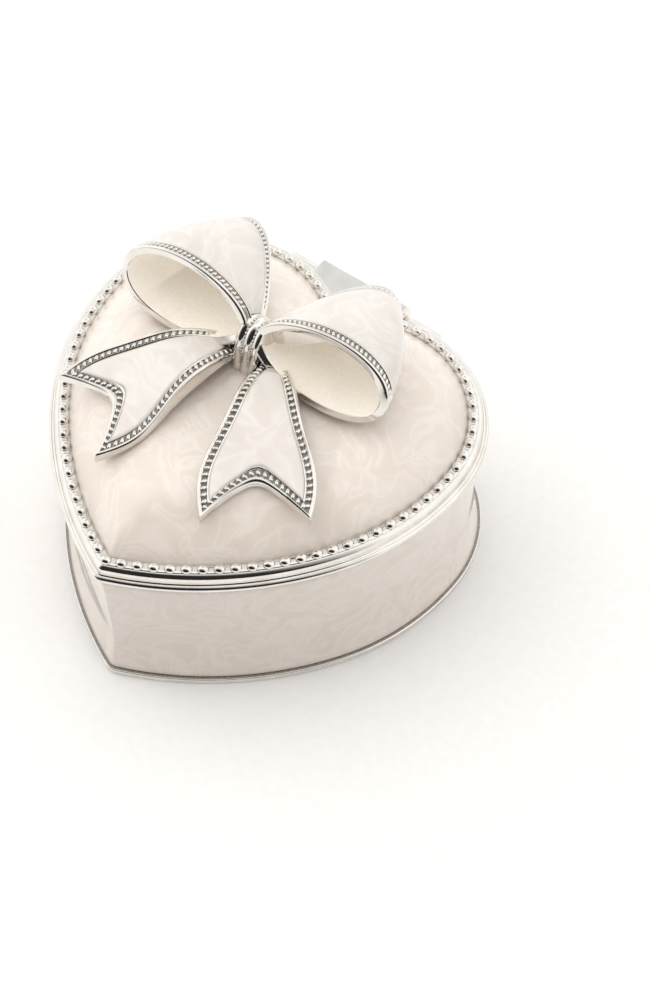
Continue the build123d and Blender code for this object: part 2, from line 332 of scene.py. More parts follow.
tree.links.new(sanded.outputs["Normal"], shader.inputs["Normal"])

# %% [markdown]
# ### Recessed silver with painted shade
# The floor of the narrow grooves under the ropes and the corner between the foot and the enamel are
# half dull, and their darker grey is painted shade, so the gaps between the strands read as dark.

# %% Recessed silver with painted shade
recess_shade, tree, shader, place = new_finish("recess_silver_painted_shade")
shade_mottle = add_node(tree, "ShaderNodeTexNoise", {"Vector": place, "Scale": per(0.4), "Detail": 2.0})
# The grey ramp is painted shade for the grooves and corners; the noise only mottles it.
tone = add_node(
    tree, "ShaderNodeValToRGB", {"Fac": shade_mottle.outputs["Fac"]},
    stops=[(0.3, "#8d8882"), (0.7, "#b3ada7")],
)
tree.links.new(tone.outputs["Color"], shader.inputs["Base Color"])
shader.inputs["Metallic"].default_value = 1.0
shader.inputs["Roughness"].default_value = 0.45

# %% [markdown]
# ### Steel pin
# The hinge pin is drawn steel wire: greyer and duller than the plate, and finely mottled.

# %% Steel pin
steel, tree, shader, place = new_finish("drawn_steel")
mottle = add_node(tree, "ShaderNodeTexNoise", {"Vector": place, "Scale": per(0.6), "Detail": 3.0})
dull = add_node(
    tree, "ShaderNodeMapRange", {"Value": mottle.outputs["Fac"], "To Min": 0.22, "To Max": 0.4}
)
tone = add_node(
    tree, "ShaderNodeValToRGB", {"Fac": mottle.outputs["Fac"]},
    stops=[(0.3, "#9b9792"), (0.7, "#bdb9b3")],
)
shader.inputs["Metallic"].default_value = 1.0
tree.links.new(tone.outputs["Color"], shader.inputs["Base Color"])
tree.links.new(dull.outputs["Result"], shader.inputs["Roughness"])

# %% [markdown]
# ### Pearl enamel
# Pearl enamel is a clear resin full of mica flakes. It is poured and stirred, so the flakes lie in
# comma-shaped swirls that catch the light. The swirl comes from noise whose own coordinates are bent by
# a larger noise, and a smooth clear coat lies on top.


# %% Pearl enamel
def pearl_finish(name, dark, middle, light, swirl=5.0):
    """Enamel with swirls of mica, from three colours and the swirls' size."""
    finish, tree, shader, place = new_finish(name)
    bend = add_node(tree, "ShaderNodeTexNoise", {"Vector": place, "Scale": per(2.2 * swirl), "Detail": 1.0})
    shift = add_node(
        tree, "ShaderNodeVectorMath", {0: bend.outputs["Color"], 1: (0.5, 0.5, 0.5)}, operation="SUBTRACT"
    )
    spread = add_node(
        tree,
        "ShaderNodeVectorMath",
        {0: shift.outputs["Vector"], "Scale": 3.2 * swirl * MM},
        operation="SCALE",
    )
    bent = add_node(tree, "ShaderNodeVectorMath", {0: place, 1: spread.outputs["Vector"]}, operation="ADD")
    streaks = add_node(
        tree,
        "ShaderNodeTexNoise",
        {"Vector": bent.outputs["Vector"], "Scale": per(swirl), "Detail": 1.6, "Distortion": 0.9},
    )
    tone = add_node(
        tree, "ShaderNodeValToRGB", {"Fac": streaks.outputs["Fac"]},
        stops=[(0.34, dark), (0.45, middle), (0.52, light), (0.60, middle)],
    )
    tree.links.new(tone.outputs["Color"], shader.inputs["Base Color"])
    soft = add_node(
        tree, "ShaderNodeMapRange", {"Value": streaks.outputs["Fac"], "To Min": 0.38, "To Max": 0.32}
    )
    tree.links.new(soft.outputs["Result"], shader.inputs["Roughness"])
    orange_peel = add_node(tree, "ShaderNodeTexNoise", {"Vector": place, "Scale": per(9.0), "Detail": 1.0})
    peel = add_node(
        tree, "ShaderNodeBump", {"Height": orange_peel.outputs["Fac"], "Strength": 0.12, "Distance": 0.3 * MM}
    )
    tree.links.new(peel.outputs["Normal"], shader.inputs["Coat Normal"])
    shader.inputs["IOR"].default_value = 1.5
    shader.inputs["Coat Weight"].default_value = 1.0
    shader.inputs["Coat Roughness"].default_value = 0.05
    return finish


pearl = pearl_finish("pearl_enamel", "#e6dacf", "#e9ded4", "#eee5dc")
panel = pearl_finish("pale_panel_enamel", "#dad3cb", "#ddd7d0", "#e3ded8", swirl=6.0)

# %% [markdown]
# ### Cream lining
# The inside is brushed with cream enamel. The brush leaves fine streaks from side to side, so the noise
# is drawn out along the box's width, and a thin clear coat gives the soft gloss.

# %% Cream lining
cream, tree, shader, place = new_finish("brushed_cream_enamel")
stretch = add_node(tree, "ShaderNodeMapping", {"Vector": place, "Scale": (0.12, 0.6, 1.0)})
brush = add_node(
    tree, "ShaderNodeTexNoise", {"Vector": stretch.outputs["Vector"], "Scale": per(0.7), "Detail": 3.0}
)
tone = add_node(
    tree, "ShaderNodeValToRGB", {"Fac": brush.outputs["Fac"]},
    stops=[(0.3, "#d8ca9c"), (0.55, "#e3d8b3"), (0.75, "#ede4c8")],
)
streak = add_node(
    tree, "ShaderNodeBump", {"Height": brush.outputs["Fac"], "Strength": 0.2, "Distance": 0.1 * MM}
)
tree.links.new(tone.outputs["Color"], shader.inputs["Base Color"])
tree.links.new(streak.outputs["Normal"], shader.inputs["Normal"])
shader.inputs["Roughness"].default_value = 0.32
shader.inputs["Coat Weight"].default_value = 0.5
shader.inputs["Coat Roughness"].default_value = 0.12
print("finishes", len(bpy.data.materials))

# %% [markdown]
# ## Tray
# The tray is one casting: a foot flange, a wall and a bare rim. Its profile goes from under the foot,
# out, up the wall behind the enamel, over the rim and down to the floor, and is swept round the heart.
# The top of the foot gets the recessed silver with painted shade, which draws the dark line under the enamel.

# %% Tray casting
BASE_HEIGHT = 28.2
FLOOR = 1.8
FOOT_HEIGHT = 1.2
FOOT_REACH = 0.5
WAIST_HEIGHT = 10.0
WAIST_DEPTH = 1.5
OVERHANG = 1.1
BARE_RIM = 1.4
BASE_WALL = 2.3
ENAMEL = 0.45

rim_z = BASE_HEIGHT - BARE_RIM
inner_wall = -OVERHANG - BASE_WALL
behind_enamel = -WAIST_DEPTH - ENAMEL
edge = 0.18
foot_profile = (
    [(FOOT_REACH - edge, 0.0)]
    + arc(FOOT_REACH - edge, edge, edge, -60, 0, 3)
    + arc(FOOT_REACH - edge, FOOT_HEIGHT - edge, edge, 0, 90, 4)
)
tray_profile = (
    foot_profile
    + [(behind_enamel, FOOT_HEIGHT), (behind_enamel, rim_z)]
    + arc(-OVERHANG - edge, rim_z + edge, edge, -90, 0, 4)
    + arc(-OVERHANG - edge, BASE_HEIGHT - edge, edge, 0, 90, 4)
    + arc(inner_wall + edge, BASE_HEIGHT - edge, edge, 90, 180, 4)
    + [(inner_wall, FLOOR)]
)
tray_shape = skin(heart_sweep(tray_profile))
tray = make_piece("tray_casting", tray_shape, "base", [silver, recess_shade], ["base_casting"])
heart_points = len(heart_ring(0, 0))
foot_top = (len(foot_profile) - 1) * heart_points
# Painted shade on the top of the foot.
for polygon in tray.data.polygons[foot_top : foot_top + heart_points]:
    polygon.material_index = 1

# %% [markdown]
# The enamel band swells from the waist out to the foot and leans out a little to the rim. It is a closed
# band with soft lips, because poured enamel draws back from a metal edge and leaves a fine gap above the
# foot, where the painted shade on the foot's top shows as a dark line.


# %% Enamel wall
def wall_distance(height):
    """How far the enamelled wall lies from the lid rim's widest line at a height."""
    if height < WAIST_HEIGHT:
        share = (WAIST_HEIGHT - height) / (WAIST_HEIGHT - FOOT_HEIGHT)
        return -WAIST_DEPTH + (WAIST_DEPTH + FOOT_REACH - ENAMEL) * share**2
    share = (height - WAIST_HEIGHT) / (rim_z - WAIST_HEIGHT)
    return -WAIST_DEPTH + (WAIST_DEPTH - OVERHANG) * share**1.5


HAIR = 0.02
DARK_LINE = 0.12
lip = 0.3
wall_low, wall_high = FOOT_HEIGHT + DARK_LINE, rim_z - HAIR
heights = [wall_low + lip + (wall_high - wall_low - 2 * lip) * i / 26 for i in range(27)]
wall_profile = (
    [(behind_enamel + HAIR, wall_low), (wall_distance(wall_low) - lip, wall_low)]
    + [(wall_distance(wall_low + 0.4 * lip) - 0.3 * lip, wall_low + 0.3 * lip)]
    + [(wall_distance(height), height) for height in heights]
    + [(wall_distance(wall_high) - 0.3 * lip, wall_high - 0.3 * lip)]
    + [(wall_distance(wall_high) - lip, wall_high), (behind_enamel + HAIR, wall_high)]
)
make_piece("tray_enamel", heart_band(wall_profile), "base", [pearl], ["base_enamel"])

# %% [markdown]
# The cream lining is a thin coat on the floor and the inner wall. It is a closed piece of its own, whose
# back lies a hair inside the casting, with a round corner where the wall meets the floor.

# %% Tray lining
COAT = 0.25
SUNK = 0.03
corner = 1.2
skin_out = inner_wall + SUNK
lining_profile = (
    [(skin_out, FLOOR - 0.05), (skin_out, BASE_HEIGHT - 0.35), (skin_out - COAT, BASE_HEIGHT - 0.5)]
    + [(skin_out - COAT, FLOOR + COAT + corner)]
    + arc(skin_out - COAT - corner, FLOOR + COAT + corner, corner, 0, -90, 6)[1:]
)
make_piece("tray_lining", skin(heart_sweep(lining_profile)), "base", [cream])

# %% [markdown]
# ## Lid
# The lid's rim is moulded: a half-round bead below, a dark cove above it, a broad shoulder, and a channel
# that holds the bead border. Further in, the casting is hidden between the enamel dome and the cream
# lining, so only the rim is made of it here.

# %% Lid casting
RIM_HEIGHT = 2.7
CHANNEL_INSET = 1.75
DOME_INSET = 3.4
DOME_RISE = 8.2
DOME_RUN = 13.5
DOME_TIP_ROUND = 9.0
LID_SHELL = 1.3
LID_LIP = 1.2
LID_MIDDLE = 4.0

rim_top = BASE_HEIGHT + RIM_HEIGHT
dome_top = rim_top + DOME_RISE
hollow_edge = -(DOME_INSET + ENAMEL + LID_LIP)


def dome_level(share, inward=0.0, down=0.0):
    """A ring of the dome, from its edge at 0 to its flat top at 1."""
    tip = LEAST_TIP_ROUND + (DOME_TIP_ROUND - LEAST_TIP_ROUND) * share
    height = rim_top + DOME_RISE * (1 - (1 - share) ** 2) - down
    return heart_ring(-(DOME_INSET + DOME_RUN * share + inward), height, tip)


bead = 0.64
rim_profile = (
    [(-DOME_INSET - 0.3, rim_top - 0.2), (-DOME_INSET - 0.3, rim_top), (-CHANNEL_INSET - 0.25, rim_top)]
    + arc(-CHANNEL_INSET, rim_top, 0.2, 180, 60, 4)
    + arc(-CHANNEL_INSET - 0.1, rim_top - 0.75, 0.85, 62, 0, 6)
    + arc(-0.52, BASE_HEIGHT + 1.6, 0.42, 170, 262, 5)
    + arc(-bead, BASE_HEIGHT + bead, bead, 70, -90, 12)
    + [(hollow_edge + 0.2, BASE_HEIGHT), (hollow_edge, BASE_HEIGHT + 0.2)]
    + [(hollow_edge, rim_top - 0.2)]
)
make_piece("lid_rim", heart_band(rim_profile), "lid", [silver], ["lid_casting"])

# %% [markdown]
# The dome is enamel over the casting. Its rings climb a parabola from the bead channel to a nearly flat
# top, and the tip of the heart grows rounder with height, so the ridge that starts at the tip fades out.
# It is a closed shell, because the lid opens and is hollow.


# %% Enamel dome
def drawn_in(ring, share):
    """A ring shrunk towards the middle of the lid."""
    return [(x * share, LID_MIDDLE + (y - LID_MIDDLE) * share, z) for x, y, z in ring]


def shell(outer, inner):
    """Two skins, one inside the other, closed at their tops and joined along their first rings."""
    edge = skin([outer[0], inner[0]], (False, False))
    return join([skin(outer, (False, True)), skin(inner, (False, True)), edge])


def dome_skin(shares, inward, down):
    """Rings of a skin under the dome's face, up its slope and in over its flat top."""
    rings = [dome_level(share, inward, down) for share in shares]
    return rings + [drawn_in(rings[-1], share) for share in (0.8, 0.6, 0.4, 0.2, 0.05)]


fine_steps = [i / 30 for i in range(31)]
dome_face = [dome_level(0, 0.05, 0.6)] + dome_skin(fine_steps, 0, 0)
dome_back = [dome_level(0, ENAMEL, 0.6)] + dome_skin([i / 10 for i in range(11)], ENAMEL, ENAMEL)
make_piece("lid_enamel_dome", shell(dome_face, dome_back), "lid", [pearl], ["lid_enamel"], 50)

# %% [markdown]
# The lid's hollow is lined with the same cream enamel as the tray. The coat is a second shell that goes
# from the rim's lower edge up the lip and over under the dome.

# %% Lid lining
LINED = LID_SHELL + ENAMEL
lining_backing = LINED - 0.6
coarse_steps = [0.08 + 0.92 * i / 12 for i in range(13)]
lining_face = heart_sweep([(hollow_edge - COAT, BASE_HEIGHT + 0.35), (hollow_edge - COAT, rim_top - 0.9)])
lining_face += dome_skin(coarse_steps, LINED, LINED)
lining_back = heart_sweep([(hollow_edge + SUNK, BASE_HEIGHT + 0.5), (hollow_edge + SUNK, rim_top - 0.5)])
lining_back += dome_skin(coarse_steps, lining_backing, lining_backing)
make_piece("lid_lining", shell(lining_face, lining_back), "lid", [cream], sharp=50)

# %% [markdown]
# ## Bead border
# Small round beads run round the dome in the channel of the rim, on a thin strip that joins them. One
# unit ball is laid along the heart ring at an even spacing, a little longer along the border than across.


# %% Bead border
def ball(segments, levels):
    """A unit ball as points and faces."""
    points = [(0.0, 0.0, -1.0)]
    for level in range(1, levels):
        turn = pi * level / levels - pi / 2
        for i in range(segments):
            angle = 2 * pi * i / segments
            points.append((cos(turn) * cos(angle), cos(turn) * sin(angle), sin(turn)))
    points.append((0.0, 0.0, 1.0))
    faces = [(0, 1 + (i + 1) % segments, 1 + i) for i in range(segments)]
    for level in range(levels - 2):
        low, high = 1 + level * segments, 1 + (level + 1) * segments
        for i in range(segments):
            j = (i + 1) % segments
            faces.append((low + i, low + j, high + j, high + i))
    top, last = len(points) - 1, 1 + (levels - 2) * segments
    faces += [(last + i, last + (i + 1) % segments, top) for i in range(segments)]
    return np.array(points), faces


def strew(template, path, ups, pitch, size, slant=0.0, closed=False):
    """Balls along a path, stretched to a size along, across and up, and turned by a slant in degrees."""
    path, ups = np.asarray(path, float), np.asarray(ups, float)
    if closed:
        path, ups = np.vstack([path, path[:1]]), np.vstack([ups, ups[:1]])
    run = np.concatenate([[0], np.cumsum(np.linalg.norm(np.diff(path, axis=0), axis=1))])
    count = max(1, round(run[-1] / pitch))
    spots = (np.arange(count) + (0 if closed else 0.5)) * run[-1] / count
    unit, faces = template
    shapes = []
    for spot in spots:
        centre, up = (np.array([np.interp(spot, run, a[:, i]) for i in range(3)]) for a in (path, ups))
        ends = [np.array([np.interp(spot + d, run, path[:, i]) for i in range(3)]) for d in (-0.3, 0.3)]
        along = ends[1] - ends[0]
        up = up / np.linalg.norm(up)
        along = along - up * along.dot(up)
        along /= np.linalg.norm(along)
        across = np.cross(up, along)
        turn = radians(slant)
        first = along * cos(turn) + across * sin(turn)
        second = np.cross(up, first)
        points = centre + unit @ (np.array([first, second, up]) * np.array(size)[:, None])
        shapes.append((points, faces))
    return join(shapes)


BEAD_PITCH = 2.5
BEAD_SIZE = (1.02, 0.86, 0.82)
bead_line = -(CHANNEL_INSET + DOME_INSET) / 2
track = heart_ring(bead_line, rim_top + 0.25)
track_ups = [(0, 0, 1)] * len(track)
beads = strew(ball(14, 8), track, track_ups, BEAD_PITCH, BEAD_SIZE, closed=True)
strip_profile = [
    (-CHANNEL_INSET - 0.05, rim_top),
    (-CHANNEL_INSET - 0.05, rim_top + 0.2),
    (-CHANNEL_INSET - 0.2, rim_top + 0.3),
    (-DOME_INSET + 0.2, rim_top + 0.3),
    (-DOME_INSET + 0.05, rim_top + 0.2),
    (-DOME_INSET + 0.05, rim_top),
]
border = join([heart_band(strip_profile), beads])
make_piece("lid_beads", border, "lid", [silver], ["lid_bead_border"], 60)

# %% [markdown]
# ## Hinge
# The tray carries two lugs beside the cleft and the lid a wide knuckle between them, on one pin. Each is
# a side view pushed along the pin, with its edges broken by a small bevel as on a tumbled casting. The
# lugs stop a hair short of the pin's ends, so the steel shows there. The pin is the CAD part's own.

# %% Hinge lugs and knuckle
HINGE_LENGTH = 30.0
KNUCKLE_LENGTH = 17.4
KNUCKLE_RADIUS = 1.9
KNUCKLE_TOP = 2.2
LUG_CLEARANCE = 0.3
HINGE_SET_BACK = 0.4
PIN_SHOWS = 0.04
hinge = frame["joints"][0]["pos_m"]
hinge_y, hinge_z = hinge[1] / MM, hinge[2] / MM


def barred(profile, start, end):
    """A side view, as points in y and z, pushed along x."""
    return skin([[(x, y, z) for y, z in profile] for x in (start, end)])


def broken_edges(piece, width):
    """A small bevel on a piece's edges."""
    bevel = piece.modifiers.new("broken_edges", "BEVEL")
    bevel.width = width * MM
    bevel.segments = 3
    bevel.limit_method = "ANGLE"
    bevel.angle_limit = radians(40)


web = HINGE_SET_BACK + OVERHANG + BASE_WALL / 2
lug_profile = (
    [(hinge_y - web, hinge_z - KNUCKLE_RADIUS)]
    + arc(hinge_y, hinge_z, KNUCKLE_RADIUS, -90, 90, 18)
    + [(hinge_y - web, hinge_z + KNUCKLE_RADIUS)]
)
right_lug = barred(lug_profile, KNUCKLE_LENGTH / 2 + LUG_CLEARANCE, HINGE_LENGTH / 2 - PIN_SHOWS)
lugs = join([right_lug, mirrored(right_lug)])
lug_pair = make_piece("tray_lugs", lugs, "base", [silver], ["base_casting"])
broken_edges(lug_pair, 0.2)

block_front = CLEFT_Y - CLEFT_RADIUS - CHANNEL_INSET
block_low, block_top = BASE_HEIGHT + 0.05, BASE_HEIGHT + KNUCKLE_TOP
knuckle_profile = (
    [(block_front, block_low), (hinge_y - KNUCKLE_RADIUS, block_low)]
    + arc(hinge_y, hinge_z, KNUCKLE_RADIUS, 180, 360, 18)
    + [(hinge_y + KNUCKLE_RADIUS, BASE_HEIGHT), (hinge_y + 0.5 * KNUCKLE_RADIUS, block_top)]
    + [(block_front, block_top)]
)
block = barred(knuckle_profile, -KNUCKLE_LENGTH / 2, KNUCKLE_LENGTH / 2)
knuckle = make_piece("lid_knuckle", block, "lid", [silver], ["lid_casting"])
broken_edges(knuckle, 0.25)
pin = frame["nodes"]["hinge_pin"]
pin.data.materials.clear()
pin.data.materials.append(steel)

# %% [markdown]
# ## Bow knot
# The knot is a strap folded over the middle of the bow. Its side view is a half ellipse on the dome, and
# three rounded ridges run over it with rows of tiny beads in the two valleys between them. The bow is
# soldered on a little turned and to one side, so every piece of it goes through one placing function.

# %% Bow knot
BOW_BACK = 8.3
BOW_SHIFT = -1.0
BOW_TURN = radians(2.2)
KNOT_WIDTH = 4.6
KNOT_DEPTH = 8.2
KNOT_HEIGHT = 8.4
KNOT_SUNK = 0.15
RIDGE = 0.4
VALLEY_PITCH = 0.62
VALLEY_BEAD = (0.27, 0.24, 0.22)
bow_z = dome_top
knot_half = KNOT_WIDTH / 2


def on_lid(shape):
    """A shape of the bow turned and shifted to where the bow is soldered on."""
    points, faces = shape
    c, s = cos(BOW_TURN), sin(BOW_TURN)
    placed = []
    for x, y, z in points:
        y -= BOW_BACK
        placed.append((BOW_SHIFT + c * x - s * y, BOW_BACK + s * x + c * y, z))
    return placed, faces


def strap_point(x, turn, lift=0.0):
    """A point on the strap: across it by x, and over it from the front at 0 to the back at 180 degrees."""
    ridge = RIDGE * abs(cos(1.5 * pi * x / knot_half)) ** 0.7 + lift
    edge_drop = 0.35 * max(0, abs(x) / knot_half - 0.85) / 0.15
    y = BOW_BACK - (KNOT_DEPTH / 2 + ridge - edge_drop) * cos(turn)
    z = bow_z - KNOT_SUNK + (KNOT_HEIGHT + ridge - edge_drop) * sin(turn)
    return (x, y, z)


strap_xs = [-knot_half + KNOT_WIDTH * i / 36 for i in range(37)]
strap_turns = [pi * i / 40 for i in range(41)]
strap_rings = [[strap_point(x, turn) for turn in strap_turns] for x in strap_xs]
small_ball = ball(8, 5)
valley_beads = []
for x in (-knot_half / 3, knot_half / 3):
    valley = [strap_point(x, turn, 0.05) for turn in strap_turns[3:-3]]
    up = [(0, -cos(turn), sin(turn)) for turn in strap_turns[3:-3]]
    valley_beads.append(strew(small_ball, valley, up, VALLEY_PITCH, VALLEY_BEAD))
strap = on_lid(join([skin(strap_rings)] + valley_beads))
make_piece("bow_strap", strap, "lid", [silver], ["bow_knot"], 50)

# %% [markdown]
# ## Ribbon loops
# A loop is a ribbon between two egg-shaped edge curves. At each angle round the egg a slice goes from the
# front edge to the rear edge, curled on an arc. The slice's outline carries the cast border: a rail, a
# groove for the rope, a second rail, and the sunk bed of the enamel panel.

# %% Ribbon slices
LOOP_THICKNESS = 1.5
LOOP_LIFT = 1.4
LOOP_ROOT = 1.5
LOOP_PINCH = 0.11
LOOP_CURL = radians(15.5)
LOOP_BORDER = 2.2
PANEL_FROM, PANEL_TO = 156, -30
FRONT_EDGE = {
    "reach": 24.4, "root": -2.1, "bend": -1.9, "crown": 2.3, "sole": -2.3, "rise": 5.5, "tilt": -0.1,
}
REAR_EDGE = {
    "reach": 16.3, "root": 1.8, "bend": 13.4, "crown": 7.6, "sole": -0.5, "rise": 2.35, "tilt": 0.7,
}


def egg_edge(edge, angle):
    """A point on a loop's edge: 0 degrees at the outer bend, 90 at the crown, 180 at the knot."""
    c = cos(radians(angle))
    s = sin(radians(angle)) * (1 + LOOP_PINCH * c)
    x = (edge["reach"] + LOOP_ROOT) / 2 + (edge["reach"] - LOOP_ROOT) / 2 * c
    y = BOW_BACK + (edge["root"] + edge["bend"]) / 2 + (edge["bend"] - edge["root"]) / 2 * c
    y += (edge["crown"] - edge["sole"]) / 2 * s + (edge["crown"] + edge["sole"]) / 2 * s * s
    z = bow_z + LOOP_LIFT + LOOP_THICKNESS / 2 + edge["rise"] * (1 + s) + edge["tilt"] * c
    return np.array((x, y, z))


class Slice:
    """The ribbon cut across at an angle: places on it go by the way along the arc and the height above it."""

    def __init__(self, angle):
        front, rear = egg_edge(FRONT_EDGE, angle), egg_edge(REAR_EDGE, angle)
        ahead = egg_edge(FRONT_EDGE, angle - 2) + egg_edge(REAR_EDGE, angle - 2)
        ahead = ahead - egg_edge(FRONT_EDGE, angle + 2) - egg_edge(REAR_EDGE, angle + 2)
        chord = np.linalg.norm(rear - front)
        self.across = (rear - front) / chord
        out = np.cross(ahead, self.across)
        self.out = out / np.linalg.norm(out)
        self.radius = chord / 2 / sin(LOOP_CURL)
        self.centre = (front + rear) / 2 - self.out * self.radius * cos(LOOP_CURL)
        self.width = 2 * LOOP_CURL * self.radius
        self.squeeze = min(1.0, self.width / (2 * LOOP_BORDER + 0.6))

    def up(self, d):
        """The direction straight out of the ribbon."""
        turn = d / self.radius - LOOP_CURL
        return self.across * sin(turn) + self.out * cos(turn)

    def place(self, d, h):
        """The point at d along the arc from the front edge and h above the ribbon's middle."""
        return self.centre + self.up(d) * (self.radius + h)


print("ribbon width in mm at crown and bend", [round(Slice(angle).width, 2) for angle in (90, 0)])

# %% [markdown]
# The border's profile goes by distance from the ribbon's edge and height above its middle: the outer
# rail, the floor of the groove and the inner rail. Where there is no panel, near the knot and under the
# loop, the bed is filled up to the rails. The ropes are rows of slanted grains in the two grooves.

# %% Loop castings
INNER_STEPS = 8
BED_FROM = 2.05
BED_FILL = 0.62
LOOP_ANGLES = range(168, -169, -3)
half_thick = LOOP_THICKNESS / 2
outer_rail = [(0.0, 0.30), (0.06, 0.50)]
outer_rail += [(0.10 + 0.62 * i / 5, 0.56 + 0.18 * sin(pi * i / 5)) for i in range(6)]
groove_floor = [(0.80, 0.34), (1.60, 0.34)]
inner_rail = [(1.68 + 0.36 * i / 5, 0.58 + 0.14 * sin(pi * i / 5)) for i in range(6)]
inner_rail += [(2.10, 0.52), (2.16, 0.36)]
border_profile = outer_rail + groove_floor + inner_rail
under_edge = [(0.12, -half_thick), (0.0, -half_thick + 0.12)]


def loop_ring(angle):
    """The ribbon's outline at an angle, with the border on its outer face."""
    cut = Slice(angle)
    plain = not PANEL_TO <= angle <= PANEL_FROM
    near = [(d * cut.squeeze, BED_FILL if plain and d > BED_FROM else h) for d, h in border_profile]
    near = under_edge + near
    outline = near + [(cut.width - d, h) for d, h in reversed(near)]
    outline += [(cut.width * k / INNER_STEPS, -half_thick) for k in range(INNER_STEPS - 1, 0, -1)]
    return [tuple(cut.place(d, h)) for d, h in outline]


loop_rings = [loop_ring(angle) for angle in LOOP_ANGLES]
loop_shape = skin(loop_rings)
ring_size = len(loop_rings[0])
inner_from = ring_size - INNER_STEPS - 1
print("loop", len(loop_rings), "slices of", ring_size, "points")

# %% Loop ropes
LOOP_ROPE_LINE = 1.20
LOOP_ROPE_HEIGHT = 0.44
LOOP_ROPE_PITCH = 0.86
LOOP_ROPE_GRAIN = (0.30, 0.54, 0.25)
LOOP_ROPE_ANGLES = range(150, -99, -2)
ROPE_SLANT = 38
ropes = []
for from_front in (True, False):
    path, ups = [], []
    for cut in [Slice(angle) for angle in LOOP_ROPE_ANGLES]:
        inset = LOOP_ROPE_LINE * cut.squeeze
        d = inset if from_front else cut.width - inset
        path.append(cut.place(d, LOOP_ROPE_HEIGHT))
        ups.append(cut.up(d))
    slant = ROPE_SLANT if from_front else -ROPE_SLANT
    ropes.append(strew(small_ball, path, ups, LOOP_ROPE_PITCH, LOOP_ROPE_GRAIN, slant))
rope_shape = join(ropes)
print("loop ropes", len(rope_shape[0]), "points")

# %% [markdown]
# The left loop is the right one mirrored. The inside of the ribbon gets the matte finish and the floors
# of the grooves the recessed silver with painted shade, picked by where a face lies in the outline.


# %% Both loops
def as_it_is(shape):
    """The right-hand shape itself."""
    return shape


SIDES = (("right", as_it_is), ("left", mirrored))
groove = len(under_edge) + len(outer_rail)
far_groove = 2 * (len(under_edge) + len(border_profile) - 1) - groove
grooves = ({groove, groove + 1}, {far_groove, far_groove + 1})
loop_finishes = [silver, cast_silver, recess_shade]
for side, shape_of in SIDES:
    casting, rope = (on_lid(shape_of(shape)) for shape in (loop_shape, rope_shape))
    nodes = [f"bow_{side}_loop"]
    loop = make_piece(f"bow_{side}_loop_casting", casting, "lid", loop_finishes, nodes, 40)
    for polygon in loop.data.polygons:
        corners = {v % ring_size for v in polygon.vertices}
        if len(polygon.vertices) == 4 and all(c >= inner_from or c == 0 for c in corners):
            polygon.material_index = 1
        # The floors of the grooves get painted shade.
        elif corners in grooves:
            polygon.material_index = 2
    make_piece(f"bow_{side}_loop_rope", rope, "lid", [silver], (), 60)

# %% [markdown]
# The loop's panel lies in its bed between the borders. It is a closed strip that stands a little proud
# and is crowned across, as enamel is when it is poured into a bed and sets.

# %% Loop panels
LOOP_PANEL_INSET = 2.13
LOOP_PANEL_FLOOR = 0.38
LOOP_PANEL_SIDE = 0.55
LOOP_PANEL_CROWN = 0.27


def loop_panel_ring(angle):
    """The enamel strip's outline at an angle."""
    cut = Slice(angle)
    inset = LOOP_PANEL_INSET * cut.squeeze
    span = cut.width - 2 * inset
    crown = [LOOP_PANEL_CROWN * (1 - (2 * k / 10 - 1) ** 4) for k in range(11)]
    top = [(inset + span * k / 10, LOOP_PANEL_SIDE + crown[k]) for k in range(11)]
    outline = [(inset, LOOP_PANEL_FLOOR)] + top + [(cut.width - inset, LOOP_PANEL_FLOOR)]
    return [tuple(cut.place(d, h)) for d, h in outline]


panel_steps = [PANEL_FROM + (PANEL_TO - PANEL_FROM) * i / 84 for i in range(85)]
loop_panel = skin([loop_panel_ring(angle) for angle in panel_steps])
for side, shape_of in SIDES:
    strip = on_lid(shape_of(loop_panel))
    nodes = [f"bow_{side}_loop_enamel"]
    make_piece(f"bow_{side}_loop_panel", strip, "lid", [panel], nodes, 50)

# %% [markdown]
# ## Ribbon tails
# A tail lies along a straight line from the knot and ends in a fishtail. Seen from above it widens to the
# tips, and seen from the side it arches over the dome. Its plan is a family of outlines, one for each
# border width, so rails, rope and panel follow the edge and the notch alike. The tip on the outer side
# is set back a little.


# %% Tail curves
def smooth_curve(xs, ys):
    """A natural cubic through points, as a function."""
    xs, ys = np.array(xs, float), np.array(ys, float)
    gaps, count = np.diff(xs), len(xs)
    system, right = np.eye(count), np.zeros(count)
    for i in range(1, count - 1):
        system[i, i - 1 : i + 2] = gaps[i - 1], 2 * (gaps[i - 1] + gaps[i]), gaps[i]
        right[i] = 6 * ((ys[i + 1] - ys[i]) / gaps[i] - (ys[i] - ys[i - 1]) / gaps[i - 1])
    bends = np.linalg.solve(system, right)

    def value(x):
        i = int(np.clip(np.searchsorted(xs, x) - 1, 0, count - 2))
        a, b = (xs[i + 1] - x) / gaps[i], (x - xs[i]) / gaps[i]
        curve = (a**3 - a) * bends[i] + (b**3 - b) * bends[i + 1]
        return float(a * ys[i] + b * ys[i + 1] + curve * gaps[i] ** 2 / 6)

    return value


TAIL_ANGLE = radians(-61.6)
TAIL_START_X = 3.6
TAIL_START_FORWARD = 1.1
TAIL_LENGTH = 28.1
TAIL_NOTCH = 6.4
TAIL_BORDER = 2.0
TAIL_BACK = -2.0
TIP_SET_BACK = 1.2
NOTCH_SOFTNESS = 0.22
PANEL_START = 2.4
LENGTH_STEPS = 44
WIDTH_STEPS = 40
ROOT_STEPS = 6
tail_places = (TAIL_BACK, 2.0, 0.32 * TAIL_LENGTH, 0.63 * TAIL_LENGTH, TAIL_LENGTH)
tail_top = smooth_curve(tail_places, (1.2, 3.2, 5.2, 2.4, -0.4))
tail_under = smooth_curve(tail_places, (-0.1, 1.9, 2.0, 0.6, -2.2))
side_places = (TAIL_BACK, 0.2 * TAIL_LENGTH, 0.48 * TAIL_LENGTH, 0.74 * TAIL_LENGTH, TAIL_LENGTH)
